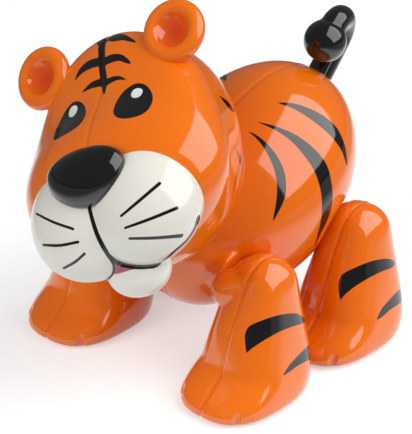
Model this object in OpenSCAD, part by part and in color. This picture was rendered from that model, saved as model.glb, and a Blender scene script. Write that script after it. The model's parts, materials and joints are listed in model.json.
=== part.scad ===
// Toddler's toy tiger in moulded plastic: two-part body and head, four swinging legs, turning tail.
// Head faces -Y, the tiger's left is +X, the soles stand on Z = 0.

/* [Body] */
// Distance of the body's middle behind the origin
body_y = 18.15; // [10:0.05:25]
// Half width of the body
body_rx = 27.4; // [25:0.1:29]
// Half length of the body along its own axis
body_ry = 36.7; // [34:0.1:40]
// Half depth of the body across its axis
body_rz = 25.2; // [24:0.1:27]
// How far the body's axis rises towards the tail
body_pitch = 35; // [30:1:40]
// Height of the body's middle above the hip axes
body_lift = 11.2; // [9:0.1:13]
// Wall of the moulded shells
wall = 2.4; // [1.6:0.1:3]

/* [Legs] */
// Height of the hip axes
hip_z = 30.5; // [28:0.1:34]
// Distance between the left and right leg seams
track = 57.5; // [56:0.1:62]
// Distance between the front and rear hip axes
wheelbase = 39.1; // [38.5:0.1:46]
// Distance of the front hip axes ahead of the body's middle
hip_front = 25.1; // [23:0.1:27]
// Radius of the leg's dome round the hip axis
dome_r = 8.8; // [7.5:0.1:9.5]
// Half width of the paw
paw_half_w = 14.2; // [12:0.1:16]
// Reach of the toes ahead of the hip axis
paw_front = 25.6; // [22:0.1:27]
// Reach of the heel behind the hip axis
paw_rear = 10.4; // [9:0.1:12]
// Wall of the leg shells
leg_wall = 2.0; // [1.4:0.1:2.6]
// Radius of the grooves between the toes
toe_groove = 1.3; // [0.8:0.1:2]

/* [Hip joint] */
// Radius of the hub that turns in the body
hub_r = 4.2; // [3.6:0.1:4.8]
// Half distance between the flat ends of the hip bosses
seat_x = 18.6; // [18:0.1:20]
// Thickness of the wall that the hub turns in
seat_wall = 3; // [2:0.1:4]
// Wall of the hip bosses round their washers
boss_wall = 2; // [1.5:0.1:2.5]
// Radius of the friction washer
washer_r = 5.8; // [5.2:0.1:6.4]
// Thickness of the friction washer
washer_t = 1; // [0.6:0.1:1.6]

/* [Head] */
// Rise of the neck axis towards the front
neck_tilt = 35; // [30:1:40]
// Turn of the head about the neck axis as it stands
head_turn = 36; // [0:1:45]
// Distance of the head's datum ahead of the body's middle
head_ahead = 39; // [38:0.1:44]
// Height of the head's datum above the body's middle
head_above = 20.7; // [19:0.1:26]
// Half width of the head
head_half_w = 26.4; // [25.5:0.1:28]
// Half height of the head
head_half_h = 31.2; // [30:0.1:33]
// Height of the head's middle above the neck axis
head_rise = 2.9; // [2:0.1:4]
// Distance of the forehead ahead of the datum
face_q = 18.2; // [17:0.1:20]
// Rounding of the head's front edge
brow_r = 12.5; // [10:0.1:14]
// Rounding of the head's sides towards the nape
nape_r = 19; // [17:0.1:22]
// Distance of the head's rear face behind the datum
nape_q = 13; // [11:0.1:14]
// Radius of the neck collar
collar_r = 13.5; // [11:0.1:15]
// Depth of the collar's seat in the body
neck_depth = 4; // [3.5:0.1:5]
// Radius of the neck journal
neck_r = 6; // [5:0.1:7]
// Radius of the ears
ear_r = 8.7; // [7:0.1:10]
// Distance of each ear from the head's middle plane
ear_x = 20.9; // [20:0.1:23]
// Distance of the ears' middles below the head's half height
ear_drop = 4; // [3:0.1:6]
// Half width of one cheek lobe of the muzzle
cheek_r = 16.3; // [14.8:0.1:17]
// Half width of the nose
nose_rx = 11.4; // [9:0.1:12]

/* [Tail] */
// Radius of the tail's stem
tail_r = 3.7; // [3:0.1:4.5]
// Radius of the ball at the tail's end
ball_r = 6; // [5:0.1:6.5]
// Rise of the tail's axis
tail_tilt = 48; // [42:1:55]
// Length of the straight stem outside the rump
stem_len = 11; // [10:0.1:14]
// Radius of the hook's middle line
hook_r = 5.2; // [4.8:0.1:6]

/* [Fits] */
// Radial clearance of the turning fits
turn_gap = 0.05; // [0.02:0.01:0.09]
// Clearance between parts that move past each other
run_gap = 0.5; // [0.3:0.1:1]
// Clearance between parts that are glued or screwed together
seat_gap = 0.05; // [0.02:0.01:0.2]
// Radius of the screws' shanks
screw_r = 1.5; // [1.2:0.1:2]
// Length of the screws' shanks
screw_len = 8; // [6:0.5:9]

/* [Hidden] */
$fn = 64;
big = 200;
orange = [0.95, 0.42, 0.03];
black = [0.03, 0.03, 0.03];
white = [0.95, 0.95, 0.93];
grey = [0.6, 0.6, 0.62];
screw_head_r = 2 * screw_r;
screw_head_t = screw_r * 1.2;
body_z = hip_z + body_lift;
boss_r = washer_r + run_gap + boss_wall;
recess_r = dome_r + run_gap;
hub_end = seat_x - seat_wall - run_gap;
neck_y = body_y - head_ahead;
neck_z = body_z + head_above;
// Front legs lie at -1 and rear legs at +1 along the body
function hip_y(end) = body_y - hip_front + (end > 0 ? wheelbase : 0);
// Half sizes of the chest, and how far its middle lies behind the front hips
chest_inset = 0.4;
chest = [seat_x - chest_inset, 14.5, 17];
chest_back = 4;
// Distance behind the head's datum at which the neck axis enters the body
neck_root = head_ahead * cos(neck_tilt) + head_above * sin(neck_tilt)
    - norm([body_ry * cos(body_pitch + neck_tilt), body_rz * sin(body_pitch + neck_tilt)]);
neck_floor = neck_root + neck_depth;
neck_back = neck_floor + wall;
journal_end = nape_q - wall - run_gap;
// The tail leaves the body at the rear end of the body's axis
tail_y = body_y + body_ry * cos(body_pitch);
tail_z = body_z + body_ry * sin(body_pitch);
// Front and rear roundings of the head's outline: distance from the neck axis, distance ahead
brow_c = [head_half_h - brow_r, face_q - brow_r];
nape_ahead = 2;
nape_c = [head_half_h - nape_r, nape_ahead];
// Snout: how far it stands out beside the head and behind the forehead, half sizes and height
snout_out = 2;
snout_back = 4.2;
snout = [head_half_w + snout_out, 15.5, 17.5];
snout_q = face_q - snout_back;
snout_z = -8;
// Cheek lobes of the muzzle: half sizes and place, and the opening behind them
cheek = [cheek_r, 0.8 * cheek_r, cheek_r];
cheek_x = 8.4;
cheek_q = face_q;
cheek_z = -17;
mouth_r = 0.75 * cheek_r;
// Slope and place of the muzzle's open back, inside the head
muzzle_tilt = 22;
muzzle_back_q = cheek_q - 4;
muzzle_back_z = snout_z - 2;
// Chin: half sizes, distance behind the forehead, drop below the cheeks
chin = [9, 7.5, 7.5];
chin_back = 7.3;
chin_drop = 14;
chin_q = face_q - chin_back;
chin_z = cheek_z - chin_drop;
// Nose: half sizes, distance ahead of the forehead, height
nose_form_r = [nose_rx, 6, 8];
nose_ahead = 12.2;
nose_q = face_q + nose_ahead;
nose_z = -10.4;
// Ears: distance behind the forehead, height, rim, splay, and radius of the dish
ear_back = 4.8;
ear_q = face_q - ear_back;
ear_up = head_half_h - ear_drop;
ear_rim = 2.3;
ear_web = 1.5 * ear_rim;
ear_splay = 12;
dish_r = 7.8;
// Leg stations: height as a share of the hip's, then how far the front, the rear, the outer and
// the inner side have grown from the dome towards the paw
stations = [
    [0.00, 0.96, 0.00, 0.70, 0.70], [0.06, 1.00, 0.70, 0.97, 0.97], [0.13, 0.91, 1.00, 1.00, 1.00],
    [0.20, 0.76, 1.05, 0.97, 0.97], [0.28, 0.57, 1.05, 0.85, 0.85], [0.36, 0.46, 1.02, 0.72, 0.70],
    [0.49, 0.36, 1.00, 0.54, 0.43], [0.66, 0.25, 0.80, 0.33, 0.04], [0.82, 0.13, 0.40, 0.17, 0.00],
    [1.00, 0.00, 0.00, 0.00, 0.00]];
// Angles of the rings on the leg's dome
dome_steps = [15, 30, 45, 60, 75, 88];
// Squareness of the leg's ovals, and steps round each half oval
section_n = 2.6;
arc_n = 14;
// The toes are filled this many walls deep
toe_fill = 2.5;
// Place and height of the grooves between the toes
groove_x = 0.75 * paw_half_w;
groove_y = -0.83 * paw_front;
groove_h = 5;
// Half widths of the leg at the hip, outside and inside its seam
dome_inset = 0.8;
outer_w = dome_r - dome_inset;
inner_w = track / 2 - seat_x - run_gap;
// Length of the hub inside the leg
hub_root = 4;
// Tail: turn of the hook, inner end of the stem, drop of the ball, radius of the washer
tail_turn = 19;
stem_end = -2 * wall - run_gap;
ball_drop = 3.1;
tail_washer_r = tail_r + wall / 2;

// Shared shapes: balls and ellipsoids with their poles along Y
module ball(r) rotate([90, 0, 0]) sphere(r);
module ellipsoid(r) rotate([90, 0, 0]) scale([r[0], r[2], r[1]]) sphere(1);

// Everything on one side of the middle plane
module half_space(side) translate([side * big / 2, 0, 0]) cube(big, center = true);

// A rod along X, from x0 to x1
module rod_x(r, x0, x1) translate([x0, 0, 0]) rotate([0, 90, 0]) cylinder(r = r, h = x1 - x0);

// Pan-head screw along Z: the shank reaches up from the underside of the head at Z = 0
module screw() {
    cylinder(r = screw_r, h = screw_len);
    difference() {
        translate([0, 0, -screw_head_t]) cylinder(r = screw_head_r, h = screw_head_t);
        for (a = [0, 90])
            rotate(a) translate([-screw_r, -screw_r / 6, -screw_head_t])
                cube([2 * screw_r, screw_r / 3, screw_r / 2]);
    }
}

// Flat washer along Z
module washer(r) difference() {
    cylinder(r = r, h = washer_t);
    translate([0, 0, -1]) cylinder(r = screw_r + run_gap, h = washer_t + 2);
}

// Body
module body_place() translate([0, body_y, body_z]) rotate([body_pitch, 0, 0]) children();
// The barrel, with a fuller chest round the front hips
module body_form(inset) {
    body_place() ellipsoid([body_rx - inset, body_ry - inset, body_rz - inset]);
    translate([0, hip_y(-1) + chest_back, hip_z]) ellipsoid(chest - [inset, inset, inset]);
}
module neck_place() translate([0, neck_y, neck_z]) rotate([-neck_tilt, 0, 0]) children();
module tail_place() translate([0, tail_y, tail_z]) rotate([tail_tilt - 90, 0, 0]) children();
module hip_place(side, end) translate([0, hip_y(end), hip_z]) mirror([side < 0 ? 1 : 0, 0, 0]) children();

module hip_bosses(side) for (end = [-1, 1]) hip_place(side, end) rod_x(boss_r, 0, seat_x);
module body_half(side) color(orange) intersection() {
    half_space(side);
    difference() {
        union() {
            body_form(0);
            hip_bosses(side);
        }
        // The hollow leaves the hip tunnels, the hip pads, the neck seat and the tail's boss standing
        difference() {
            body_form(wall);
            hip_bosses(side);
            for (end = [-1, 1])
                hip_place(side, end) rod_x(recess_r + wall, seat_x - wall, body_rx);
            neck_place() rotate([-90, 0, 0]) cylinder(r = collar_r + wall, h = neck_back);
            tail_place() translate([0, 0, -2 * wall]) cylinder(r = tail_r + wall, h = stem_len);
        }
        for (end = [-1, 1])
            hip_place(side, end) {
                rod_x(recess_r, seat_x, body_rx);
                rod_x(washer_r + run_gap, -1, seat_x - seat_wall);
                rod_x(hub_r + turn_gap, 0, seat_x + 1);
            }
        neck_place() rotate([-90, 0, 0]) cylinder(r = collar_r + seat_gap, h = neck_floor);
        neck_place() rotate([-90, 0, 0]) cylinder(r = neck_r + seat_gap, h = neck_back + wall);
        tail_place() translate([0, 0, -4 * wall]) cylinder(r = tail_r + turn_gap, h = stem_len);
    }
}
module body_left() body_half(1);
module body_right() body_half(-1);

// Neck: a collar set into the body, a journal for the head, and a flange behind the body's skin
module neck_post() color(orange) neck_place() difference() {
    union() {
        translate([0, nape_q + run_gap, 0]) rotate([-90, 0, 0])
            cylinder(r = collar_r, h = neck_floor - nape_q - run_gap);
        translate([0, journal_end, 0]) rotate([-90, 0, 0])
            cylinder(r = neck_r, h = neck_back + seat_gap + wall - journal_end);
        translate([0, neck_back + seat_gap, 0]) rotate([-90, 0, 0])
            cylinder(r = neck_r + wall, h = wall);
    }
    translate([0, journal_end - 1, 0]) rotate([-90, 0, 0])
        cylinder(r = screw_r + seat_gap, h = screw_len + 2);
}
module neck_washer() color(grey) neck_place() translate([0, journal_end - washer_t, 0])
    rotate([-90, 0, 0]) washer(neck_r + wall);
module neck_screw() color(grey) neck_place() translate([0, journal_end - washer_t, 0])
    rotate([-90, 0, 0]) screw();

// Head, in its own frame: forward is -Y along the neck axis, up is Z
module head_place() neck_place() rotate([0, -head_turn, 0]) children();
module at_face(x, q, z) translate([x, -q, z]) children();

// Outline of the head about its middle line, from the flat nape to the forehead
module skull_outline(inset) {
    nape = inset - nape_q;
    side = head_half_h - inset;
    intersection() {
        translate([0, nape]) square([big, big]);
        union() {
            translate(brow_c) circle(brow_r - inset);
            intersection() {
                translate(nape_c) circle(nape_r - inset);
                translate([0, nape_c[1] - big]) square([big, big]);
            }
            polygon([[0, nape], [nape_c[0], nape], [nape_c[0], nape_c[1]], [side, nape_c[1]],
                [side, brow_c[1]], brow_c, [brow_c[0], face_q - inset], [0, face_q - inset]]);
        }
    }
}
module head_form(inset) {
    translate([0, 0, head_rise]) scale([(head_half_w - inset) / (head_half_h - inset), 1, 1])
        rotate([90, 0, 0]) rotate_extrude() skull_outline(inset);
    at_face(0, snout_q, snout_z) ellipsoid(snout - [inset, inset, inset]);
}
module cheeks(inset) for (side = [-1, 1])
    at_face(side * cheek_x, cheek_q, cheek_z) rotate([0, side < 0 ? 180 : 0, 0])
        ellipsoid(cheek - [inset, inset, inset]);
module muzzle_form(gap) {
    cheeks(-gap);
    at_face(0, chin_q, chin_z) rotate([0, 90, 0])
        ellipsoid([chin[2], chin[1], chin[0]] + [gap, gap, gap]);
}
module nose_form(gap) at_face(0, nose_q, nose_z) rotate([90, 0, -90])
    scale([nose_form_r[1] + gap, nose_form_r[2] + gap, nose_form_r[0] + gap]) sphere(1);
module ear_place(side) at_face(side * ear_x, ear_q, ear_up) rotate([90, 0, side * ear_splay]) children();
module ear_envelope() translate([0, 0, -ear_rim - seat_gap])
    cylinder(r = ear_r + seat_gap, h = 2 * (ear_rim + seat_gap));

module head_half() color(orange) intersection() {
    half_space(1);
    difference() {
        head_form(0);
        head_form(wall);
        rotate([-90, 0, 0]) cylinder(r = neck_r + turn_gap, h = 2 * nape_q);
        muzzle_form(seat_gap);
        nose_form(seat_gap);
        // No part of the snout's wall stays behind the middle of the muzzle
        at_face(0, 0, cheek_z) rotate([90, 0, 0]) cylinder(r = mouth_r, h = big);
        ear_place(1) ear_envelope();
    }
}
module head_left() head_place() head_half();
module head_right() head_place() mirror([1, 0, 0]) head_half();

// The muzzle's hollow goes round a pocket that takes the nose, and is open inside the head
module muzzle() color(white) head_place() difference() {
    muzzle_form(0);
    difference() {
        cheeks(wall);
        nose_form(wall);
    }
    nose_form(seat_gap);
    at_face(0, muzzle_back_q, muzzle_back_z) rotate([muzzle_tilt, 0, 0]) translate([0, big / 2, 0])
        cube(big, center = true);
}
module nose() color(black) head_place() nose_form(0);

// Ear: a rolled rim round a shallow dish
module ear(side) color(orange) head_place() ear_place(side) rotate_extrude() union() {
    translate([ear_r - ear_rim, 0]) circle(ear_rim);
    difference() {
        translate([0, -ear_rim]) square([ear_r - ear_rim, ear_web]);
        translate([0, dish_r - ear_rim / 3]) circle(dish_r);
    }
}
module ear_left() ear(1);
module ear_right() ear(-1);

// Legs: lofted between stations up to the hip, then a dome round the hip axis
function mix(a, b, t) = a + (b - a) * t;
function power(v) = sign(v) * pow(abs(v), 2 / section_n);
// One ring of the leg: height, front reach, rear reach, half width, all drawn in by the inset
function leg_rings(hip_w, inner, inset) = concat(
    [for (s = stations) [
        inset + s[0] * (hip_z - inset),
        mix(dome_r, paw_front - toe_fill * inset, s[1]) - inset,
        mix(dome_r, paw_rear, s[2]) - inset,
        mix(hip_w, paw_half_w, s[inner ? 4 : 3]) - inset]],
    [for (a = dome_steps) [
        hip_z + (dome_r - inset) * sin(a),
        (dome_r - inset) * cos(a), (dome_r - inset) * cos(a), (hip_w - inset) * cos(a)]]);
function ring_points(r) = [for (i = [0 : arc_n]) let (a = 180 * i / arc_n - 90)
    [r[3] * power(cos(a)), (r[2] - r[1]) / 2 + (r[1] + r[2]) / 2 * power(sin(a)), r[0] - hip_z]];
module leg_form(hip_w, inner, inset) {
    rings = leg_rings(hip_w, inner, inset);
    m = arc_n + 1;
    last = len(rings) - 1;
    polyhedron(
        [for (r = rings) each ring_points(r)],
        concat(
            [for (k = [0 : last - 1]) for (i = [0 : arc_n - 1])
                each [[k * m + i, (k + 1) * m + i, (k + 1) * m + i + 1],
                    [k * m + i, (k + 1) * m + i + 1, k * m + i + 1]]],
            [for (k = [0 : last - 1])
                each [[k * m, k * m + arc_n, (k + 1) * m + arc_n],
                    [k * m, (k + 1) * m + arc_n, (k + 1) * m]]],
            [[for (i = [0 : arc_n]) i]],
            [[for (i = [arc_n : -1 : 0]) last * m + i]]));
}
module toe_cut() translate([groove_x, groove_y, -hip_z - 1])
    cylinder(r = toe_groove, h = groove_h + 1);
module leg_shell(hip_w, inner) difference() {
    leg_form(hip_w, inner, 0);
    leg_form(hip_w, inner, leg_wall);
    toe_cut();
}
module leg_place(side, end) hip_place(side, end) translate([track / 2, 0, 0]) children();
module leg_outer(side, end) color(orange) leg_place(side, end) leg_shell(outer_w, false);
module leg_inner(side, end) color(orange) leg_place(side, end) mirror([1, 0, 0]) difference() {
    union() {
        leg_shell(inner_w, true);
        rod_x(hub_r, inner_w - leg_wall - hub_root, track / 2 - hub_end);
    }
    rod_x(screw_r + seat_gap, track / 2 - hub_end - screw_len - 1, track / 2);
}
module hip_washer(side, end) color(grey) hip_place(side, end)
    translate([hub_end - washer_t, 0, 0]) rotate([0, 90, 0]) washer(washer_r);
module hip_screw(side, end) color(grey) hip_place(side, end)
    translate([hub_end - washer_t, 0, 0]) rotate([0, 90, 0]) screw();

// Tail: a straight stem, a hook that turns back towards the head, and a ball
module tail() color(black) tail_place() difference() {
    union() {
        rotate(tail_turn) {
            translate([0, 0, stem_end]) cylinder(r = tail_r, h = stem_len - stem_end);
            translate([0, -hook_r, stem_len]) rotate([0, 90, 0]) rotate([0, 0, 90])
                rotate_extrude(angle = 180) translate([hook_r, 0]) circle(tail_r);
            translate([0, -2 * hook_r, stem_len - ball_drop]) {
                cylinder(r = tail_r, h = ball_drop);
                sphere(ball_r);
            }
        }
    }
    translate([0, 0, stem_end - 1]) cylinder(r = screw_r + seat_gap, h = screw_len + 2);
}
module tail_washer() color(grey) tail_place() translate([0, 0, stem_end - washer_t])
    washer(tail_washer_r);
module tail_screw() color(grey) tail_place() translate([0, 0, stem_end - washer_t]) screw();

body_left();
body_right();
neck_post();
neck_washer();
neck_screw();
head_left();
head_right();
muzzle();
nose();
ear_left();
ear_right();
leg_outer(1, -1);  // front_left_outer
leg_inner(1, -1);  // front_left_inner
leg_outer(-1, -1);  // front_right_outer
leg_inner(-1, -1);  // front_right_inner
leg_outer(1, 1);  // rear_left_outer
leg_inner(1, 1);  // rear_left_inner
leg_outer(-1, 1);  // rear_right_outer
leg_inner(-1, 1);  // rear_right_inner
hip_washer(1, -1);  // front_left_washer
hip_washer(-1, -1);  // front_right_washer
hip_washer(1, 1);  // rear_left_washer
hip_washer(-1, 1);  // rear_right_washer
hip_screw(1, -1);  // front_left_screw
hip_screw(-1, -1);  // front_right_screw
hip_screw(1, 1);  // rear_left_screw
hip_screw(-1, 1);  // rear_right_screw
tail();
tail_washer();
tail_screw();
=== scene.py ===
# %% [markdown]
# # Toy tiger in moulded plastic
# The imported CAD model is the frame: it fixes every size and every joint. This notebook dresses
# it. The moulded pieces get smooth skins, parting seams, printed stripes and a glossy finish.
# The screws, the washers and the neck post keep their CAD meshes and get a finish only.

# %% Load the frame
import json
from math import cos, pi, radians, sin

import bpy
import numpy as np
from mathutils import Matrix, Vector
from mathutils.bvhtree import BVHTree


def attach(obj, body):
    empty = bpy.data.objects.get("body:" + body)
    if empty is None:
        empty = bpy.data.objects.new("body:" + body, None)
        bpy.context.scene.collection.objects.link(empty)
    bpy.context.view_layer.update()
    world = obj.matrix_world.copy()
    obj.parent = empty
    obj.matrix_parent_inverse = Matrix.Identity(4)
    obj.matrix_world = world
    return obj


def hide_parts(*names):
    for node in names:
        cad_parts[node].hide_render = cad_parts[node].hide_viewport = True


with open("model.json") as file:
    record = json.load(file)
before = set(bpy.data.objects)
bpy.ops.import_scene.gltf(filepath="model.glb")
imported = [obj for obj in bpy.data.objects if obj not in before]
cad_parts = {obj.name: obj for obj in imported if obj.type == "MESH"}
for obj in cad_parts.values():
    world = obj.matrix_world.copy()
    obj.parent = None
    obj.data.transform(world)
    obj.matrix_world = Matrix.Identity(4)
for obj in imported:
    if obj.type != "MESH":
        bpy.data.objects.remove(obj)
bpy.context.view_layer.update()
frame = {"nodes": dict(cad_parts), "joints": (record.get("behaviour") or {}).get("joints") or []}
mm = 0.001
joints = {j["name"]: j for j in frame["joints"]}

# %% [markdown]
# ## Where things are
# The joints say where the neck and the hips lie, so every skin is placed from them.
# The head's own frame has X to the tiger's left, -Y out of the face and Z to the crown.

# %% Places of the head and the hips
neck_tilt = radians(35)
head_turn = radians(36)
neck = Vector(joints["head_turn"]["pos_m"])
head_place = (Matrix.Translation(neck) @ Matrix.Rotation(-neck_tilt, 4, "X")
              @ Matrix.Rotation(-head_turn, 4, "Y"))
body_pitch = radians(35)
head_ahead, body_height = 39 * mm, 41.7 * mm
body_middle = Vector((0, neck.y + head_ahead, body_height))
body_place = Matrix.Translation(body_middle) @ Matrix.Rotation(body_pitch, 4, "X")
tail_tilt = radians(48)
tail_root = Vector(joints["tail_turn"]["pos_m"])
tail_place = Matrix.Translation(tail_root) @ Matrix.Rotation(tail_tilt - pi / 2, 4, "X")
legs = ("front_left", "front_right", "rear_left", "rear_right")
hips = {leg: Vector(joints[f"{leg}_swing"]["pos_m"]) for leg in legs}
print("neck at", neck, "hips at", hips)

# %% [markdown]
# ## Camera
# The photograph is 412 by 434 pixels. Matching the body, the legs and the head to it gives a
# long lens about 0.8 m away, above the tiger and to its left.

# %% Camera at the photograph's viewing angle
photo_size = (412, 434)
focal_px = 2912
view_back = Vector((0.5731, -0.6200, 0.5358)).normalized()
view_right = Vector((0.7343, 0.6788, 0.0)).normalized()
view_up = view_back.cross(view_right)
datum = neck - Vector((0, -0.00742, 0.06243))
datum_px = (168.3, 353.9)
camera_distance = 0.8
look_from = datum + view_back * camera_distance


def pixel_ray(px, py):
    """Direction from the camera through a pixel of the photograph."""
    across = view_right * (px - datum_px[0]) + view_up * (datum_px[1] - py)
    return (across - view_back * focal_px).normalized()


bpy.ops.object.select_all(action="DESELECT")
bpy.ops.object.camera_add(location=look_from)
camera = bpy.context.object
aim = -pixel_ray(photo_size[0] / 2, photo_size[1] / 2)
across = (view_right - aim * view_right.dot(aim)).normalized()
camera.rotation_euler = Matrix((across, aim.cross(across), aim)).transposed().to_euler()
camera.data.sensor_width = 36
camera.data.lens = focal_px / max(photo_size) * camera.data.sensor_width
camera.data.clip_start, camera.data.clip_end = 0.01, 20
bpy.context.scene.camera = camera
print("camera at", look_from, "lens", camera.data.lens)

# %% [markdown]
# ## Tools for modelling
# Each skin starts from primitives at their real size. `blend_skin` joins overlapping forms and
# lays one even skin over them, softened so that the joins become fillets, as in a moulding.
# `press_seam` presses a fine groove along the parting plane, and `split_half` cuts the skin there
# and rounds the cut's rim, so two halves that meet show a seam.

# %% Select, place and apply
def select_only(*objects):
    bpy.ops.object.select_all(action="DESELECT")
    for obj in objects:
        obj.select_set(True)
    bpy.context.view_layer.objects.active = objects[0]


def set_down(obj, place):
    """Bakes an object's place into its mesh."""
    obj.matrix_world = place @ obj.matrix_world
    select_only(obj)
    bpy.ops.object.transform_apply(location=True, rotation=True, scale=True)
    return obj


def apply_modifier(obj, name, kind, **settings):
    select_only(obj)
    modifier = obj.modifiers.new(name, kind)
    for key, value in settings.items():
        setattr(modifier, key, value)
    bpy.ops.object.modifier_apply(modifier=name)


def move_points(obj, change):
    """Passes all points of a mesh, in millimetres, through a function of an array."""
    points = np.empty(len(obj.data.vertices) * 3)
    obj.data.vertices.foreach_get("co", points)
    obj.data.vertices.foreach_set("co", (change(points.reshape(-1, 3) / mm) * mm).ravel())
    obj.data.update()


def points_and_normals(obj):
    """All points of a mesh in metres, and their normals, as rows of two arrays."""
    arrays = []
    for kind in ("co", "normal"):
        values = np.empty(len(obj.data.vertices) * 3)
        obj.data.vertices.foreach_get(kind, values)
        arrays.append(values.reshape(-1, 3))
    return arrays


# %% Eggs, rods and sleeves
steps_around, steps_along = 96, 64
ring_angles = np.radians(np.arange(0, 360, 5))


def egg(middle, half, place=Matrix(), reshape=None):
    """A ball drawn out to three half sizes, optionally reshaped while it is still a unit ball."""
    bpy.ops.object.select_all(action="DESELECT")
    bpy.ops.mesh.primitive_uv_sphere_add(
        segments=steps_around, ring_count=steps_along, radius=mm, rotation=(pi / 2, 0, 0))
    ball = set_down(bpy.context.object, Matrix())
    if reshape:
        move_points(ball, reshape)
    move_points(ball, lambda p: p * np.array(half) + np.array(middle))
    return set_down(ball, place)


def rod_x(radius, x0, x1, y, z):
    """A rod along X, in millimetres."""
    bpy.ops.object.select_all(action="DESELECT")
    bpy.ops.mesh.primitive_cylinder_add(
        vertices=steps_around, radius=radius * mm, depth=(x1 - x0) * mm,
        location=((x0 + x1) / 2 * mm, y * mm, z * mm), rotation=(0, pi / 2, 0))
    return set_down(bpy.context.object, Matrix())


def sleeve(rings, place=Matrix()):
    """A grid rolled into a closed sleeve through rings of points, with both ends capped."""
    around = len(rings[0])
    bpy.ops.object.select_all(action="DESELECT")
    bpy.ops.mesh.primitive_grid_add(x_subdivisions=around, y_subdivisions=len(rings) - 1, size=mm)
    tube = bpy.context.object
    points = np.array([list(ring) + [ring[0]] for ring in rings], float).reshape(-1, 3)
    move_points(tube, lambda p: points)
    bpy.ops.object.mode_set(mode="EDIT")
    bpy.ops.mesh.select_all(action="SELECT")
    bpy.ops.mesh.remove_doubles(threshold=1e-6)
    bpy.ops.mesh.fill_holes(sides=0)
    bpy.ops.mesh.normals_make_consistent(inside=False)
    bpy.ops.object.mode_set(mode="OBJECT")
    return set_down(tube, place)


# %% Join, cut, skin and split
def boolean(obj, tool, operation):
    apply_modifier(obj, "cut", "BOOLEAN", object=tool, operation=operation, solver="EXACT")
    bpy.data.objects.remove(tool)


def join(parts):
    select_only(*parts)
    bpy.ops.object.join()
    return bpy.context.object


def blend_skin(parts, grain, rounds):
    """One skin over overlapping forms; grain is its mesh size in mm, rounds softens the joins."""
    whole = join(parts)
    apply_modifier(whole, "skin", "REMESH", mode="VOXEL", voxel_size=grain * mm)
    apply_modifier(whole, "soften", "SMOOTH", factor=0.5, iterations=rounds)
    return whole


seam_round = 0.26 * mm
seam_reach, seam_depth = 0.75, 0.45


def press_seam(whole, middle, outward):
    """Presses a fine groove into a skin along its parting plane."""
    points, normals = points_and_normals(whole)
    off = np.abs((points - np.array(middle)) @ np.array(outward)) / mm
    press = np.maximum(1 - off / seam_reach, 0) * seam_depth * mm
    whole.data.vertices.foreach_set("co", (points - normals * press[:, None]).ravel())
    whole.data.update()


def split_half(whole, name, middle, outward):
    """A copy of the part of a skin that lies on one side of a parting plane."""
    select_only(whole)
    bpy.ops.object.duplicate()
    half = bpy.context.object
    half.name = half.data.name = name
    bpy.ops.object.mode_set(mode="EDIT")
    bpy.ops.mesh.select_all(action="SELECT")
    bpy.ops.mesh.bisect(plane_co=middle, plane_no=outward, use_fill=True, clear_inner=True)
    bpy.ops.mesh.select_mode(type="FACE")
    bpy.ops.mesh.region_to_loop()
    bpy.ops.mesh.bevel(offset=seam_round, segments=2, affect="EDGES", clamp_overlap=True)
    bpy.ops.mesh.select_mode(type="VERT")
    bpy.ops.object.mode_set(mode="OBJECT")
    return half


def finish_piece(piece, name, body, slot, *nodes):
    """Names a skin, hides the CAD nodes that it stands for and sets it on its body."""
    piece.name = piece.data.name = name
    select_only(piece)
    bpy.ops.object.shade_smooth_by_angle(angle=radians(40))
    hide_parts(*nodes)
    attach(piece, body)
    low, high = (np.array(end) / mm for end in (np.min([c[:] for c in piece.bound_box], 0),
                                                np.max([c[:] for c in piece.bound_box], 0)))
    print(name, len(piece.data.polygons), "faces, box", low.round(1), high.round(1))
    return piece


# %% [markdown]
# ## Body
# The body is a barrel that rises to the rump, with a fuller chest between the front legs. A hollow
# leaves room for each leg to turn, with a round boss in it that the hub sits in. The body is
# moulded in two halves that meet along the back.

# %% Body halves
track = 57.5
seat_x = 18.6
boss_r = 6.2
barrel_half = (27.4, 36.7, 25.2)
chest_half, chest_back = (18.2, 14.5, 17), 4
# Front and rear hips: how far a hollow's middle lies above the hip, and its half sizes
hollows = ((0, (10.4, 9.9, 9.9)), (-3, (10.6, 12.5, 13.0)))
side_planes = {"left": (1, 0, 0), "right": (-1, 0, 0)}
hip_points = [hips[leg] / mm for leg in ("front_left", "rear_left")]
barrel = egg((0, 0, 0), barrel_half, body_place)
for hip, (rise, half) in zip(hip_points, hollows):
    for x in (-track / 2, track / 2):
        boolean(barrel, egg((x, hip.y, hip.z + rise), half), "DIFFERENCE")
chest = egg((0, hip_points[0].y + chest_back, hip_points[0].z), chest_half)
bosses = [rod_x(boss_r, -seat_x, seat_x, hip.y, hip.z) for hip in hip_points]
body = blend_skin([barrel, chest, *bosses], grain=0.5, rounds=16)
press_seam(body, (0, 0, 0), side_planes["left"])
body_skins = {side: split_half(body, f"body_{side}_skin", (0, 0, 0), plane)
              for side, plane in side_planes.items()}
for side, skin in body_skins.items():
    finish_piece(skin, f"body_{side}_skin", "trunk", "orange_plastic", f"body_{side}")

# %% [markdown]
# ## Head
# Seen from the front the head is taller than wide, with a flat forehead and round edges: a ball
# pushed towards a drum. A wide snout swells out of its lower half, and the back is cut flat.
# A boolean leaves a hard crease between skull and snout, and smoothing it away would shrink the
# head. So each point of the joined skin is moved onto a surface that is worked out to run from
# one form into the other in a wide fillet, with a round edge where the back is cut.

# %% Head forms
skull_middle, skull_half = np.array((0, -6.1, 2.9)), np.array((26.4, 1, 31.2))
skull_power = 3.07
skull_front, skull_back = 12.4, 22.6
snout_middle, snout_half = np.array((0, -14, -8)), np.array((27.6, 15.5, 17.5))
nape = 13.0
snout_fillet, nape_fillet = 14.0, 7.0


def egg_gap(p, middle, half):
    """About how far points lie outside an egg, in mm, and negative inside it."""
    q = (p - middle) / half
    size = np.linalg.norm(q, axis=1)
    return size * (size - 1) / np.linalg.norm(q / half, axis=1)


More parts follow.
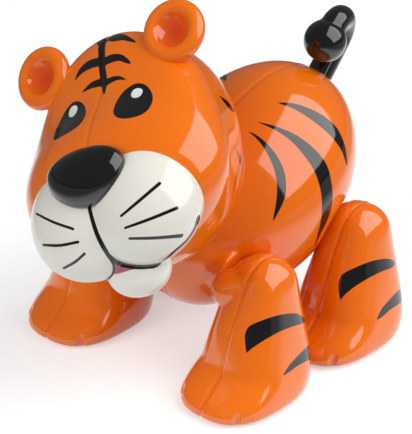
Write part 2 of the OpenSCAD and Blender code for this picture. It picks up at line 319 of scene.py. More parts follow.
def skull_gap(p):
    """The same for the skull's drum form."""
    q = p - skull_middle
    depth = np.abs(q[:, 1]) / np.where(q[:, 1] < 0, skull_front, skull_back)
    reach = np.hypot(q[:, 0] / skull_half[0], q[:, 2] / skull_half[2])
    size = (depth ** skull_power + reach ** skull_power) ** (1 / skull_power)
    return (1 - 1 / size) * np.linalg.norm(q, axis=1)


def run_together(a, b, width):
    """The smaller of two gaps, rounded over a width where they are alike."""
    alike = np.maximum(width - np.abs(a - b), 0) / width
    return np.minimum(a, b) - alike ** 2 * width / 4


def head_gap(p):
    forms = run_together(skull_gap(p), egg_gap(p, snout_middle, snout_half), snout_fillet)
    return -run_together(-forms, nape - p[:, 1], nape_fillet)


def settle(p, gap=head_gap, step=0.01):
    """Slides points down the slope of a gap until they lie on its surface."""
    for _ in range(6):
        rises = [gap(p + step * way) - gap(p - step * way) for way in np.eye(3)]
        slope = np.stack(rises, 1) / (2 * step)
        p = p - slope * (gap(p) / np.maximum((slope ** 2).sum(1), 0.1))[:, None]
    return p


# %% Head halves
def drum(p):
    """Pushes a unit ball towards a drum that is deeper behind than in front."""
    reach = np.hypot(p[:, 0], p[:, 2])
    size = (np.abs(p[:, 1]) ** skull_power + reach ** skull_power) ** (1 / skull_power)
    p = p / size[:, None]
    p[:, 1] *= np.where(p[:, 1] < 0, skull_front, skull_back)
    return p


skull = egg(skull_middle, skull_half, reshape=drum)
select_only(skull)
bpy.ops.object.mode_set(mode="EDIT")
bpy.ops.mesh.select_all(action="SELECT")
bpy.ops.mesh.bisect(plane_co=(0, nape * mm, 0), plane_no=(0, 1, 0), use_fill=True, clear_outer=True)
bpy.ops.object.mode_set(mode="OBJECT")
head = blend_skin([skull, egg(snout_middle, snout_half)], grain=0.5, rounds=30)
move_points(head, settle)
apply_modifier(head, "even", "SMOOTH", factor=0.5, iterations=4)
set_down(head, head_place)
head_axis = head_place.to_3x3() @ Vector((1, 0, 0))
press_seam(head, neck, head_axis)
head_skins = {side: split_half(head, f"head_{side}_skin", neck, head_axis * sign)
              for side, sign in (("left", 1), ("right", -1))}
for side, skin in head_skins.items():
    finish_piece(skin, f"head_{side}_skin", "head", "orange_plastic", f"head_{side}")

# %% [markdown]
# ## Muzzle and nose
# The white muzzle is one moulding: two cheek lobes that run together under the nose, and a small
# chin. The nose is a black egg, wider at the top.

# %% Muzzle
cheek_out, cheek_ahead, cheek_height = 8.4, -18.2, -17.05
cheek_half = (16.3, 13, 16.3)
chin_middle, chin_half = (0, -10.9, -31), (9, 7.5, 7.5)
cheeks = [egg((side * cheek_out, cheek_ahead, cheek_height), cheek_half, head_place) for side in (-1, 1)]
chin = egg(chin_middle, chin_half, head_place)
boolean(cheeks[0], cheeks[1], "UNION")
boolean(cheeks[0], chin, "UNION")
muzzle = blend_skin(cheeks[:1], grain=0.32, rounds=12)
finish_piece(muzzle, "muzzle_skin", "head", "white_plastic", "muzzle")


# %% Nose
nose_middle, nose_half = (0, -30.4, -10.4), (11.4, 6.0, 8.2)
top_flare, top_flat = 0.16, 0.1


def wide_top(p):
    """Widens the upper half of a unit ball and flattens its top."""
    p = p.copy()
    p[:, 0] *= 1 + top_flare * p[:, 2]
    p[:, 2] -= top_flat * np.maximum(p[:, 2], 0) ** 2
    return p


nose = egg(nose_middle, nose_half, head_place, reshape=wide_top)
finish_piece(nose, "nose_skin", "head", "black_plastic", "nose")

# %% [markdown]
# ## Ears
# Each ear is a cup with a fat rolled rim. A half section is drawn as a chain of points and spun
# about the ear's axis: the rim is part of a circle, and the dish is part of a larger one that
# meets the rim without a kink. Shade is painted into the dish: it is redder and darker towards its
# deep middle, so every point also stores how far it lies from the edge of that painted shade.

# %% Ears
ear_rim = 2.3
ear_r = 8.7
ear_spot = (20.9, -13.4, 27.2)
ear_tilt = radians(7)
rim_middle = ear_r - ear_rim
bowl_r = 5.4
rim_end = radians(148)
bowl_edge = (rim_middle + ear_rim * cos(rim_end), ear_rim * sin(rim_end))
bowl_middle = bowl_edge[1] + (bowl_r ** 2 - bowl_edge[0] ** 2) ** 0.5
back_bulge, back_r = 1.4, 6.6
# Painted shade: within this radius of its middle the dish is painted a darker red, as if in shade
painted_dish_shade_r = 3.4
rim_line = [(rim_middle + ear_rim * cos(a), ear_rim * sin(a))
            for a in np.linspace(radians(-80), rim_end, 26)]
dish_line = [(r, bowl_middle - (bowl_r ** 2 - r ** 2) ** 0.5)
             for r in np.linspace(bowl_edge[0] - 0.3, 0.2, 14)]
back_line = [(r, -ear_rim - back_bulge * (1 - (r / back_r) ** 2)) for r in np.linspace(0.25, 6.4, 12)]
ear_section = back_line + rim_line + dish_line
ear_skins = {}
for side, sign in (("left", 1), ("right", -1)):
    turn = (Matrix.Translation(Vector((sign * ear_spot[0], ear_spot[1], ear_spot[2])) * mm)
            @ Matrix.Rotation(sign * ear_tilt, 4, "Z") @ Matrix.Rotation(pi / 2, 4, "X"))
    rings = [[(r * cos(a), r * sin(a), h) for a in ring_angles] for r, h in ear_section]
    ear = sleeve(rings)
    apply_modifier(ear, "smooth", "SUBSURF", levels=1, render_levels=1)
    # Each point stores its distance from the edge of the dish's painted shade; the ear's back gets none
    layer = ear.data.attributes.new("painted_dish_shade", "FLOAT", "POINT")
    for point, stored in zip(ear.data.vertices, layer.data):
        x, y, h = point.co / mm
        stored.value = np.hypot(x, y) - painted_dish_shade_r if h > -ear_rim else painted_dish_shade_r
    set_down(ear, head_place @ turn)
    ear_skins[side] = finish_piece(ear, f"ear_{side}_skin", "head", "orange_plastic", f"ear_{side}")

# %% [markdown]
# ## Legs
# A leg is a loft: a round dome at the hip that widens into a broad paw. It is drawn as rings
# from the sole upwards, each ring an oval with squared corners, then cut into an outer and an
# inner shell. Short grooves part the toes. A front leg also has a blunt shoulder that reaches
# forward and in from its dome.

# %% Leg rings
dome_r, paw_half_w, paw_front, paw_rear = 8.8, 14.2, 25.6, 10.4
dome_inset, run_gap = 0.8, 0.5
outer_w = dome_r - dome_inset
inner_w = track / 2 - seat_x - run_gap
hip_z = hips["front_left"].z / mm
section_power = 2.6
# Height as a share of the hip's, then growth from dome to paw: front, rear, outer side, inner side
leg_stations = [
    [0.00, 0.95, 0.20, 0.72, 0.70], [0.06, 1.00, 0.85, 0.98, 0.97], [0.13, 0.98, 1.30, 1.00, 1.00],
    [0.20, 0.83, 1.50, 0.98, 0.97], [0.28, 0.64, 1.50, 0.90, 0.85], [0.345, 0.52, 1.45, 0.82, 0.72],
    [0.39, 0.475, 1.40, 0.76, 0.68], [0.49, 0.43, 1.30, 0.62, 0.54], [0.66, 0.335, 1.00, 0.40, 0.28],
    [0.82, 0.21, 0.50, 0.20, 0.08], [1.00, 0.06, 0.00, 0.02, 0.00]]


def leg_ring(height, front, rear, outer, inner):
    """One oval of the leg about its hip: -Y is forward, +X is outward."""
    ring = []
    for a in ring_angles:
        c, s = (np.sign(v) * abs(v) ** (2 / section_power) for v in (cos(a), sin(a)))
        ring.append(((outer if c > 0 else inner) * c,
                     (rear - front) / 2 + (rear + front) / 2 * s, height - hip_z))
    return ring


def grow(start, end, share):
    return start + (end - start) * share


rows = [leg_ring(h * hip_z, grow(dome_r, paw_front, f), grow(dome_r, paw_rear, r),
                 grow(outer_w, paw_half_w, out), grow(inner_w, paw_half_w, inn))
        for h, f, r, out, inn in leg_stations]
rows += [leg_ring(hip_z + dome_r * sin(a), *(size * cos(a) for size in (dome_r, dome_r, outer_w, inner_w)))
         for a in np.radians((15, 30, 45, 60, 75, 85))]

# %% Leg shells
toe_x, toe_y, toe_lean = 10.0, -22.5, radians(-8)
toe_half = (0.9, 1.6, 8.5)
shoulder_turn, shoulder_sink = radians(43), 0.07
# Distance from the hip along the shoulder, and the shoulder's radius there
shoulder_line = [(-2, 8.2), (2, 7.7), (5, 6.7), (8, 5.7), (10.5, 4.8), (12.3, 3.9), (13.5, 2.8),
                 (14.2, 1.4), (14.4, 0.3)]
leg_skins = {}
for leg in legs:
    sign = 1 if leg.endswith("left") else -1
    place = Matrix.Translation(hips[leg] + Vector((sign * track / 2 * mm, 0, 0)))
    ring_set = [[(sign * x, y, z) for x, y, z in ring] for ring in rows]
    whole = sleeve(ring_set, place)
    apply_modifier(whole, "smooth", "SUBSURF", levels=2, render_levels=2)
    for x in (-toe_x, toe_x):
        lean = Matrix.Translation(Vector((x, toe_y, -hip_z)) * mm) @ Matrix.Rotation(toe_lean, 4, "X")
        boolean(whole, egg((0, 0, 0), toe_half, place @ lean), "DIFFERENCE")
    forms = [whole]
    if leg.startswith("front"):
        cone = [[(-sign * out, r * cos(a), r * sin(a) - shoulder_sink * out) for a in ring_angles]
                for out, r in shoulder_line]
        forms.append(sleeve(cone, place @ Matrix.Rotation(sign * shoulder_turn, 4, "Z")))
    whole = blend_skin(forms, grain=0.36, rounds=8)
    parting = (sign * track / 2 * mm, 0, 0)
    press_seam(whole, parting, (1, 0, 0))
    for shell, outward in (("outer", sign), ("inner", -sign)):
        skin = split_half(whole, f"{leg}_{shell}_skin", parting, (outward, 0, 0))
        leg_skins[leg, shell] = finish_piece(skin, f"{leg}_{shell}_skin", f"{leg}_leg",
                                             "orange_plastic", f"{leg}_{shell}")
    bpy.data.objects.remove(whole)

# %% [markdown]
# ## Tail
# The black tail is a straight stem that hooks back over the rump and ends in a ball.

# %% Tail
tail_r, ball_r, stem_len, hook_r, ball_drop = 3.7, 6.0, 11.0, 5.2, 3.1
tail_twist = radians(19)
stem_sink = 5
stem = [((0, z), 0) for z in np.linspace(-stem_sink, stem_len, 12)]
hook = [((-hook_r + hook_r * cos(a), stem_len + hook_r * sin(a)), a)
        for a in np.radians(range(6, 181, 6))]
drop = [((-2 * hook_r, stem_len - d), pi) for d in np.linspace(0.5, ball_drop, 4)]
tail_rings = []
for (y, z), a in stem + hook + drop:
    tail_rings.append([(tail_r * sin(t), y + tail_r * cos(t) * cos(a), z + tail_r * cos(t) * sin(a))
                       for t in np.radians(np.arange(0, 360, 7.5))])
twist = tail_place @ Matrix.Rotation(tail_twist, 4, "Z")
tail = sleeve(tail_rings, twist)
boolean(tail, egg((0, -2 * hook_r, stem_len - ball_drop), (ball_r,) * 3, twist), "UNION")
tail = blend_skin([tail], grain=0.3, rounds=20)
finish_piece(tail, "tail_skin", "tail", "black_plastic", "tail")

# %% [markdown]
# ## Printed marks
# Stripes, eyes, whiskers and the mouth are ink on the plastic. Thin marks are strokes: points of
# the photograph with the stroke's breadth there, in pixels. A ray through each point finds the
# surface. Broad marks are patches, drawn as outlines in pixels. Every vertex stores how far it lies
# from the ink's edge, in mm, and the finish turns that distance into a crisp edge. Marks on the
# unseen side of the body and the legs mirror the seen ones.

# %% Cast strokes on a surface
no_ink = 3.0
widest_spread = 2.2


def smooth_line(points, steps=6):
    """A curve through all points, by the Catmull-Rom rule."""
    p = np.array(points, float)
    if len(p) < 3:
        return np.array([p[0] + (p[1] - p[0]) * t for t in np.linspace(0, 1, 2 * steps + 1)])
    p = np.vstack([2 * p[0] - p[1], p, 2 * p[-1] - p[-2]])
    line = []
    for a, b, c, d in zip(p, p[1:], p[2:], p[3:]):
        for t in np.linspace(0, 1, steps, endpoint=False):
            line.append(0.5 * (2 * b + (c - a) * t + (2 * a - 5 * b + 4 * c - d) * t ** 2
                               + (3 * b - a - 3 * c + d) * t ** 3))
    return np.array(line + [p[-2]])


def surface_point(tree, px, py):
    """Where the ray through a pixel meets the surface, or else the surface point next to the ray."""
    ray = pixel_ray(px, py)
    hit = tree.ray_cast(look_from, ray)[0]
    met = hit is not None
    if not met:
        hit = body_middle
        for _ in range(6):
            hit = tree.find_nearest(look_from + ray * (hit - look_from).dot(ray))[0]
    return np.array(hit), met


def cast_stroke(tree, points):
    """Points on the surface and half breadths, in metres, for a stroke of (x, y, breadth) rows."""
    line = smooth_line(points)
    along = np.gradient(line[:, :2], axis=0)
    across = np.stack([-along[:, 1], along[:, 0]], 1) / np.linalg.norm(along, axis=1)[:, None]
    half = np.maximum(line[:, 2], 0.2) / 2
    spots, sizes = [], []
    for (px, py, _), side, reach in zip(line, across, half):
        middle, met = surface_point(tree, px, py)
        edges = [surface_point(tree, px + way * side[0] * reach, py + way * side[1] * reach)
                 for way in (-1, 1)]
        plain = np.linalg.norm(middle - np.array(look_from)) / focal_px * reach
        spread = np.linalg.norm(edges[0][0] - edges[1][0]) / 2
        spots.append(middle)
        seen = met and edges[0][1] and edges[1][1]
        sizes.append(min(spread, widest_spread * plain) if seen else plain)
    return np.array(spots), np.array(sizes)


def ink_distance(points, strokes):
    """Signed distance of each point from the nearest stroke's edge, negative inside, in mm."""
    nearest = np.full(len(points), no_ink)
    for spots, sizes in strokes:
        for a, b, wa, wb in zip(spots, spots[1:], sizes, sizes[1:]):
            run = b - a
            t = np.clip((points - a) @ run / max(run @ run, 1e-12), 0, 1)
            gap = np.linalg.norm(points - a - t[:, None] * run, axis=1) - (wa + (wb - wa) * t)
            nearest = np.minimum(nearest, gap / mm)
    return nearest


def mirrored(strokes, place=Matrix()):
    """The same strokes on the other side of a piece's middle plane."""
    flip = np.array(place @ Matrix.Diagonal((-1, 1, 1, 1)) @ place.inverted())
    return [(spots @ flip[:3, :3].T + flip[:3, 3], sizes) for spots, sizes in strokes]


def patch_distance(points, normals, outline, side=1):
    """Signed distance in mm from a patch outlined in pixels, for points that face the camera.

    A side of -1 first mirrors the points to the side of the body that the photograph shows."""
    mirror = np.array((side, 1, 1))
    away = points * mirror - np.array(look_from)
    depth = -(away @ np.array(view_back))
    spots = np.stack([datum_px[0] + focal_px * (away @ np.array(view_right)) / depth,
                      datum_px[1] - focal_px * (away @ np.array(view_up)) / depth], 1)
    corners = smooth_line([*outline, outline[0]], 4)
    gap = np.full(len(points), 1e9)
    inside = np.zeros(len(points), bool)
    for a, b in zip(corners, corners[1:]):
        run = b - a
        t = np.clip((spots - a) @ run / max(run @ run, 1e-12), 0, 1)
        gap = np.minimum(gap, np.linalg.norm(spots - a - t[:, None] * run, axis=1))
        crosses = (a[1] > spots[:, 1]) != (b[1] > spots[:, 1])
        inside ^= crosses & (spots[:, 0] < a[0] + run[0] * (spots[:, 1] - a[1]) / (run[1] or 1e-9))
    gap *= depth / focal_px / mm
    turned_away = (away * (normals * mirror)).sum(1) > 0
    return np.where(turned_away, no_ink, np.where(inside, -gap, gap))


def print_marks(piece, patches=(), side=1, **inks):
    """Stores each ink's distance on a piece, under the ink's name; patches are (ink, outline) pairs."""
    points, normals = points_and_normals(piece)
    gaps = {ink: ink_distance(points, strokes) for ink, strokes in inks.items()}
    for ink, outline in patches:
        gap = patch_distance(points, normals, outline, side)
        gaps[ink] = np.minimum(gaps.get(ink, no_ink), gap)
    for ink, gap in gaps.items():
        layer = piece.data.attributes.new(ink, "FLOAT", "POINT")
        layer.data.foreach_set("value", gap.astype(np.float32))
    print(piece.name, {ink: int((gap < 0).sum()) for ink, gap in gaps.items()}, "points inked")


def surface_of(obj):
    return BVHTree.FromObject(obj, bpy.context.evaluated_depsgraph_get())


# %% Body stripes
flank_stripes = [
    [(277.8, 102.2, 0.6), (293.4, 105.3, 5), (308.1, 111.8, 8.5), (322.8, 121, 10.5), (334.6, 131.8, 9.5),
     (342.5, 145, 5.5), (345.5, 155, 3), (347.7, 166.4, 0.5)],
    [(257.6, 121.3, 0.6), (276.9, 128.3, 4), (295.3, 138.8, 8.3), (310.9, 153.5, 12.5), (321.6, 169.1, 13.6),
     (326.7, 187.5, 11.6), (327.6, 203.1, 9.6), (324.7, 219.7, 6), (314.6, 246.3, 0.6)],
    [(246.6, 129.8, 0.6), (258.5, 137.9, 3.2), (269.9, 151.1, 6.5), (278.4, 167.3, 8.8), (281.7, 182.9, 9.5),
     (280.4, 199.4, 7.6), (272.8, 222.4, 0.6)]]
body_tree = surface_of(body)
left_stripes = [cast_stroke(body_tree, stroke) for stroke in flank_stripes]
print_marks(body_skins["left"], ink=left_stripes)
print_marks(body_skins["right"], ink=mirrored(left_stripes))

# %% Leg stripes
leg_stripes = {
    "front": [
        [(246.2, 353.2), (244.7, 337.2), (246.6, 329.9), (250.8, 325.3), (263.5, 319.9), (278.1, 315.3),
         (290.9, 313.5), (299.1, 314.4), (305.1, 319.9), (302.8, 323.5), (290.9, 327.2), (278.1, 332.6),
         (263.5, 340.8), (252.6, 348.1)],
        [(281.8, 377), (289.1, 365.5), (300, 353.6), (310.1, 343.6), (318, 336), (318, 355), (311, 359.1),
         (298.2, 365.5), (290.9, 370.9)]],
    "rear": [
        [(340.5, 300.6), (338.4, 288.5), (340.1, 278.1), (345.3, 272.6), (359.1, 266), (373, 260.9),
         (385.1, 258.8), (392.8, 260), (395.8, 264.3), (392, 267.8), (379.9, 272.6), (366, 279.9),
         (353.9, 287.6), (345.3, 294.6)],
        [(376.1, 321), (381.6, 309.3), (392, 297.2), (400.6, 288.5), (412, 279), (412, 297), (400.6, 303.2),
         (390.2, 310.1), (383.3, 316.2)]]}
for end, outlines in leg_stripes.items():
    for name, side in (("left", 1), ("right", -1)):
        print_marks(leg_skins[f"{end}_{name}", "outer"], [("ink", outline) for outline in outlines], side)

# %% Forehead stripes and eyes
brow_stripes = [
    [(101, 38, 6.5), (102, 52, 6.5), (102.5, 66, 6.5), (103.5, 80, 5.5), (104, 93, 2)],
    [(104, 41, 7), (112, 37, 6.5), (122, 36.5, 5), (130, 39, 3.5), (136, 41.5, 1)],
    [(104, 61, 7), (112, 57.5, 7.5), (120, 57, 6.5), (126, 60, 5), (131, 63.5, 1)],
    [(104, 83, 6), (112, 79, 5), (119, 77.5, 3.6), (127, 79.5, 1)],
    [(100, 40, 6), (91, 43.5, 4.5), (82, 49, 2)],
    [(99, 61, 8), (89, 64, 7.5), (81, 70, 5), (75, 79, 1)],
    [(101, 82, 8), (92, 84.5, 5.5), (82, 91.5, 1)]]
eyes = [
    [(113, 110.9), (116.2, 101.4), (123.6, 90.8), (132.1, 84.5), (138.4, 82.6), (145.8, 84.5),
     (151.1, 90.8), (152.8, 98.2), (150, 106.7), (143.7, 113), (134.2, 116.8), (124.7, 118.3),
     (117.3, 117.3), (113.7, 114.1)],
    [(53.2, 139.5), (54.9, 132.1), (59.1, 122.5), (64.4, 112), (69.7, 104.6), (75, 101), (80.3, 101.4),
     (84.5, 105.6), (85.8, 112), (83.4, 119.4), (78.1, 125.7), (70.7, 131), (62.3, 135.9), (55.9, 139.5)]]
eye_lights = [
    [(130.8, 94.2), (132.8, 90), (137.2, 87.6), (141.8, 88.6), (142.6, 91.2), (140.4, 95.2), (136, 97.4),
     (132, 96.8)],
    [(68.6, 114.6), (69.6, 109.6), (72.6, 105.6), (76, 105), (77.4, 107.8), (76, 112.4), (72.8, 116.2),
     (69.8, 116.8)]]
nape_stripes = [
    [(219.9, 95.6, 0.6), (226, 102, 4), (230, 106, 4.4), (234.6, 111.2, 0.8)],
    [(236.4, 148.9, 0.6), (240, 159, 3.4), (242.6, 167, 3.2), (243.4, 174.6, 0.6)]]
head_tree = surface_of(head)
face_marks = [cast_stroke(head_tree, stroke) for stroke in brow_stripes]
nape_marks = [cast_stroke(head_tree, stroke) for stroke in nape_stripes]
head_ink = face_marks + nape_marks + mirrored(nape_marks, head_place)
eye_patches = [("ink", outline) for outline in eyes] + [("white_ink", outline) for outline in eye_lights]
for skin in head_skins.values():
    print_marks(skin, eye_patches, ink=head_ink)

# %% Muzzle: mouth line and whiskers
mouth_lines = [
    [(88, 200, 4), (91, 215, 4), (97, 234, 4.4), (104, 248, 4.6), (109, 256, 4)],
    [(107, 254, 3.4), (113, 263, 3), (114, 269, 2.6), (112, 275, 2.2), (106, 280, 1.6), (101, 282, 1)],
    [(108, 255, 4), (117, 261.5, 3.6), (127, 265, 3.2), (147, 266.5, 3), (158, 263.8, 2.8),
     (166.5, 258.6, 2.6), (175.5, 250.4, 2.4), (185.5, 241.5, 2.4), (192.6, 232, 2.4), (197.4, 222, 2.8)],
    [(197.6, 221.5, 4.6), (198.2, 219.8, 4.6)]]
whiskers = [
    [(121, 216, 2.6), (140, 200, 3.3), (159.5, 183.3, 3.5)],
    [(125, 228, 2.6), (150, 219, 3.3), (177, 208, 3.5)],
    [(129.5, 238.6, 2.6), (155, 238, 3.3), (181.5, 235.8, 3.5)],
    [(36, 213.5, 1.8), (53, 222, 2.6), (73, 229, 2.8)],
    [(43, 245, 2.4), (60, 245.4, 3), (78, 242, 3)],
    [(63.5, 268.5, 2.4), (75, 262, 2.8), (84.5, 253.8, 2.8)]]
mouth_fill = [(112.6, 259), (124.4, 263.5), (143, 266.5), (132, 269.7), (114.7, 274.2), (116, 267)]
muzzle_tree = surface_of(muzzle)
print_marks(muzzle, [("pink_ink", mouth_fill)],
            ink=[cast_stroke(muzzle_tree, stroke) for stroke in mouth_lines + whiskers])
for whole in (body, head):
    bpy.data.objects.remove(whole)

# %% [markdown]
# ## Finishes
# All moulded pieces share one gloss: a faint waviness from the mould, and a roughness that drifts
# a little. It is a node group, placed in each finish with its own values. A second group turns
# an ink's stored distance into a mask with a fine soft edge; with a wide soft edge it also lays
# the painted shade into the ears' dishes.

# %% Node groups
def new_group(name, inputs, outputs):
    group = bpy.data.node_groups.new(name, "ShaderNodeTree")
    for label, default in inputs:
        socket = group.interface.new_socket(label, in_out="INPUT", socket_type="NodeSocketFloat")
        socket.default_value = default
    for label in outputs:
        group.interface.new_socket(label, in_out="OUTPUT", socket_type="NodeSocketFloat")
    return group, group.nodes.new("NodeGroupInput"), group.nodes.new("NodeGroupOutput")


def add_node(tree, kind, **settings):
    node = tree.nodes.new(kind)
    for key, value in settings.items():
        if key.startswith("in_"):
            node.inputs[key[3:].replace("_", " ")].default_value = value
        else:
            setattr(node, key, value)
    return node


moulded, g_in, g_out = new_group(
    "moulded_gloss", [("Wave Scale", 60), ("Speck Scale", 900), ("Roughness", 0.2), ("Drift", 0.06)],
    ["Roughness", "Height", "Tint"])
where = add_node(moulded, "ShaderNodeTexCoord")
wave = add_node(moulded, "ShaderNodeTexNoise", in_Detail=2.0)
speck = add_node(moulded, "ShaderNodeTexNoise", in_Detail=3.0)
for noise, scale in ((wave, "Wave Scale"), (speck, "Speck Scale")):
    moulded.links.new(where.outputs["Object"], noise.inputs["Vector"])
    moulded.links.new(g_in.outputs[scale], noise.inputs["Scale"])
centred = add_node(moulded, "ShaderNodeMath", operation="SUBTRACT")
centred.inputs[1].default_value = 0.5
drift = add_node(moulded, "ShaderNodeMath", operation="MULTIPLY_ADD")
moulded.links.new(wave.outputs["Fac"], centred.inputs[0])
moulded.links.new(centred.outputs[0], drift.inputs[0])
moulded.links.new(g_in.outputs["Drift"], drift.inputs[1])
moulded.links.new(g_in.outputs["Roughness"], drift.inputs[2])
relief = add_node(moulded, "ShaderNodeMath", operation="MULTIPLY_ADD")
relief.inputs[1].default_value = 0.08
moulded.links.new(speck.outputs["Fac"], relief.inputs[0])
moulded.links.new(wave.outputs["Fac"], relief.inputs[2])
moulded.links.new(drift.outputs[0], g_out.inputs["Roughness"])
moulded.links.new(relief.outputs[0], g_out.inputs["Height"])
moulded.links.new(wave.outputs["Fac"], g_out.inputs["Tint"])

inked, g_in, g_out = new_group("ink_and_shade_edge", [("Distance", 1.0), ("Soft Edge", 0.06)], ["Mask"])
low = add_node(inked, "ShaderNodeMath", operation="MULTIPLY")
low.inputs[1].default_value = -1.0
ramp = add_node(inked, "ShaderNodeMapRange", interpolation_type="SMOOTHSTEP")
inked.links.new(g_in.outputs["Soft Edge"], low.inputs[0])
inked.links.new(g_in.outputs["Distance"], ramp.inputs["Value"])
inked.links.new(g_in.outputs["Soft Edge"], ramp.inputs["From Min"])
inked.links.new(low.outputs[0], ramp.inputs["From Max"])
inked.links.new(ramp.outputs["Result"], g_out.inputs["Mask"])
print("groups:", [group.name for group in bpy.data.node_groups])


# %% Plastic finishes
def plastic(name, colour, shade, roughness=0.1, inks=(), gloss=0.5, coat=0.65):
    """A glossy moulded finish; inks are (attribute, colour, soft edge in mm) laid over it in order: printed
    ink, and on the ears a painted shade.
    """
    finish = bpy.data.materials.new(name)
    finish.use_nodes = True
    tree = finish.node_tree
    skin = tree.nodes["Principled BSDF"]
    skin.inputs["Specular IOR Level"].default_value = gloss
    skin.inputs["Coat Weight"].default_value = coat
    skin.inputs["Coat Roughness"].default_value = 0.03
    gloss_group = add_node(tree, "ShaderNodeGroup", node_tree=moulded)
    gloss_group.inputs["Roughness"].default_value = roughness
    tree.links.new(gloss_group.outputs["Roughness"], skin.inputs["Roughness"])
    bump = add_node(tree, "ShaderNodeBump", in_Strength=0.06, in_Distance=0.0002)
    tree.links.new(gloss_group.outputs["Height"], bump.inputs["Height"])
    tree.links.new(bump.outputs["Normal"], skin.inputs["Normal"])
    tint = add_node(tree, "ShaderNodeMix", data_type="RGBA")
    tint.inputs["A"].default_value = (*shade, 1)
    tint.inputs["B"].default_value = (*colour, 1)
    tree.links.new(gloss_group.outputs["Tint"], tint.inputs["Factor"])
    last = tint.outputs["Result"]
    for ink, ink_colour, soft in inks:
        stored = add_node(tree, "ShaderNodeAttribute", attribute_name=ink)
        edge = add_node(tree, "ShaderNodeGroup", node_tree=inked)
        edge.inputs["Soft Edge"].default_value = soft
        layer = add_node(tree, "ShaderNodeMix", data_type="RGBA")
        layer.inputs["B"].default_value = (*ink_colour, 1)
        tree.links.new(stored.outputs["Fac"], edge.inputs["Distance"])
        tree.links.new(edge.outputs["Mask"], layer.inputs["Factor"])
        tree.links.new(last, layer.inputs["A"])
        last = layer.outputs["Result"]
    tree.links.new(last, skin.inputs["Base Color"])
    return finish


crisp = 0.06
black_ink = ("ink", (0.004, 0.004, 0.005), crisp)
white_ink = ("white_ink", (0.86, 0.86, 0.84), crisp)
pink_ink = ("pink_ink", (0.48, 0.13, 0.17), crisp)
# Painted shade: the deep middle of each ear's dish is painted a darker red, with a 3 mm soft edge
ear_painted_dish_shade = ("painted_dish_shade", (0.72, 0.055, 0.004), 3.0)
orange, deep_orange = (0.92, 0.185, 0.004), (0.88, 0.160, 0.003)
finishes = {
    "orange": plastic("orange_plastic", orange, deep_orange),
    "ear": plastic("ear_orange_plastic", orange, deep_orange, inks=[ear_painted_dish_shade]),
    "striped": plastic("striped_orange_plastic", orange, deep_orange, inks=[black_ink]),
    "face": plastic("face_orange_plastic", orange, deep_orange, inks=[black_ink, white_ink]),
    "white": plastic("white_plastic", (0.86, 0.835, 0.765), (0.82, 0.795, 0.715),
                     inks=[pink_ink, black_ink], coat=0.3),
    "black": plastic("black_plastic", (0.006, 0.006, 0.007), (0.004, 0.004, 0.005), 0.08),
    "nylon": plastic("nylon", (0.70, 0.69, 0.64), (0.62, 0.60, 0.54), 0.38, gloss=0.4, coat=0.0)}


def steel(name):
    """Plated screw steel: bright, with fine turning marks in its roughness."""
    finish = bpy.data.materials.new(name)
    finish.use_nodes = True
    tree = finish.node_tree
    skin = tree.nodes["Principled BSDF"]
    skin.inputs["Metallic"].default_value = 1.0
    skin.inputs["Base Color"].default_value = (0.58, 0.57, 0.55, 1)
    marks = add_node(tree, "ShaderNodeGroup", node_tree=moulded)
    marks.inputs["Wave Scale"].default_value = 700
    marks.inputs["Roughness"].default_value = 0.28
    marks.inputs["Drift"].default_value = 0.2
    tree.links.new(marks.outputs["Roughness"], skin.inputs["Roughness"])
    bump = add_node(tree, "ShaderNodeBump", in_Strength=0.1, in_Distance=0.0001)
    tree.links.new(marks.outputs["Height"], bump.inputs["Height"])
    tree.links.new(bump.outputs["Normal"], skin.inputs["Normal"])
    return finish


finishes["steel"] = steel("screw_steel")


def wear(piece, finish):
    piece.data.materials.clear()
    piece.data.materials.append(finishes[finish])


for skin in body_skins.values():
    wear(skin, "striped")
for skin in head_skins.values():
    wear(skin, "face")
for (leg, shell), skin in leg_skins.items():
    wear(skin, "striped" if shell == "outer" else "orange")
wear(muzzle, "white")
for skin in (nose, tail):
    wear(skin, "black")
for skin in ear_skins.values():
    wear(skin, "ear")

# %% Finishes of the neck post, the washers and the screws
for name, node in frame["nodes"].items():
    kind = {"post": "orange", "washer": "nylon", "screw": "steel"}.get(name.split("_")[-1])
    if kind:
        for held in node.material_slots:
            held.material = finishes[kind]
        print(name, "wears", kind)

# %% [markdown]
# ## Studio
# The tiger stands on a pale floor. A large soft box above and to the camera's right gives the pale,
# crisp reflections on the head's side and on the flank. A fill in front lights the face and the
# muzzle; it leaves no reflection, so the eyes stay black. The floor is white as far as the camera
# sees it and dimmer beyond, so the flanks mirror a dim room and keep a full colour. It adds a
# little white of its own, so that it runs into the white background and still keeps the shadow.

# %% Floor
bpy.ops.object.select_all(action="DESELECT")
bpy.ops.mesh.primitive_plane_add(size=6)
floor = bpy.context.object
floor.name = "floor"
centre_ray = pixel_ray(photo_size[0] / 2, photo_size[1] / 2)
floor_middle = look_from - centre_ray * (look_from.z / centre_ray.z)
floor.matrix_world = Matrix((view_right, -Vector((view_back.x, view_back.y, 0)).normalized(), (0, 0, 1))
                            ).transposed().to_4x4()
floor.location = floor_middle
pool_half = (0.10, 0.20, 1.0)
pool_fade = 2.0
floor_lift = 0.46
white, dim = (0.70, 0.74, 0.75, 1), (0.25, 0.25, 0.25, 1)
floor_finish = bpy.data.materials.new("studio_floor")
floor_finish.use_nodes = True
tree = floor_finish.node_tree
paper = tree.nodes["Principled BSDF"]
paper.inputs["Roughness"].default_value = 0.7
paper.inputs["Specular IOR Level"].default_value = 0.1
paper.inputs["Emission Color"].default_value = (1, 1, 1, 1)
where = add_node(tree, "ShaderNodeTexCoord")
pool = add_node(tree, "ShaderNodeVectorMath", operation="DIVIDE")
pool.inputs[1].default_value = pool_half
reach = add_node(tree, "ShaderNodeVectorMath", operation="LENGTH")
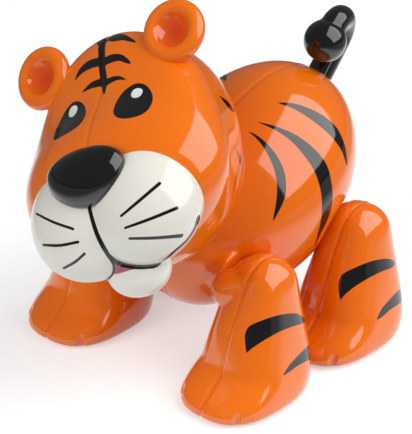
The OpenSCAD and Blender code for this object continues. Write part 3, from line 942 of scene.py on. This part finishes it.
bright = add_node(tree, "ShaderNodeMapRange", interpolation_type="SMOOTHSTEP",
                  in_From_Min=pool_fade, in_From_Max=1.0, in_To_Min=0.0, in_To_Max=1.0)
card = add_node(tree, "ShaderNodeMix", data_type="RGBA")
card.inputs["A"].default_value = dim
card.inputs["B"].default_value = white
tree.links.new(where.outputs["Object"], pool.inputs[0])
tree.links.new(pool.outputs["Vector"], reach.inputs[0])
tree.links.new(reach.outputs["Value"], bright.inputs["Value"])
tree.links.new(bright.outputs["Result"], card.inputs["Factor"])
tree.links.new(card.outputs["Result"], paper.inputs["Base Color"])
path = add_node(tree, "ShaderNodeLightPath")
seen = path.outputs["Is Camera Ray"]
for kind in ("Is Glossy Ray", "Is Transmission Ray"):
    either = add_node(tree, "ShaderNodeMath", operation="MAXIMUM")
    tree.links.new(seen, either.inputs[0])
    tree.links.new(path.outputs[kind], either.inputs[1])
    seen = either.outputs[0]
lift = add_node(tree, "ShaderNodeMath", operation="MULTIPLY")
lift.inputs[1].default_value = floor_lift
glow = add_node(tree, "ShaderNodeMath", operation="MULTIPLY")
tree.links.new(seen, lift.inputs[0])
tree.links.new(lift.outputs[0], glow.inputs[0])
tree.links.new(bright.outputs["Result"], glow.inputs[1])
tree.links.new(glow.outputs[0], paper.inputs["Emission Strength"])
floor.data.materials.append(floor_finish)

# %% Soft boxes
stage_middle = Vector((0, 0, 0.05))


def soft_box(name, direction, distance, width, height, brightness):
    """An area lamp that faces the tiger; brightness is what a mirror would show of it."""
    place = stage_middle + Vector(direction).normalized() * distance
    bpy.ops.object.light_add(type="AREA", location=place)
    lamp = bpy.context.object
    lamp.name = name
    lamp.data.shape = "RECTANGLE"
    lamp.data.size, lamp.data.size_y = width, height
    lamp.data.energy = brightness * pi * width * height
    lamp.rotation_euler = (place - stage_middle).to_track_quat("Z", "Y").to_euler()
    print(name, "at", place, "power", lamp.data.energy)
    return lamp


soft_box("right_box", (0.63, 0.36, 0.69), distance=0.75, width=1.00, height=0.90, brightness=2.6)
fill = soft_box("front_fill", (-0.10, -0.85, 0.50), distance=0.90, width=0.70, height=0.70, brightness=3.0)
fill.visible_glossy = False
fill.data.specular_factor = 0.0

# %% World
studio = bpy.data.worlds.new("studio")
bpy.context.scene.world = studio
studio.use_nodes = True
tree = studio.node_tree
sky = tree.nodes["Background"]
sky.inputs["Color"].default_value = (1, 1, 1, 1)
sky.inputs["Strength"].default_value = 0.15
bpy.context.scene.view_settings.view_transform = "Standard"
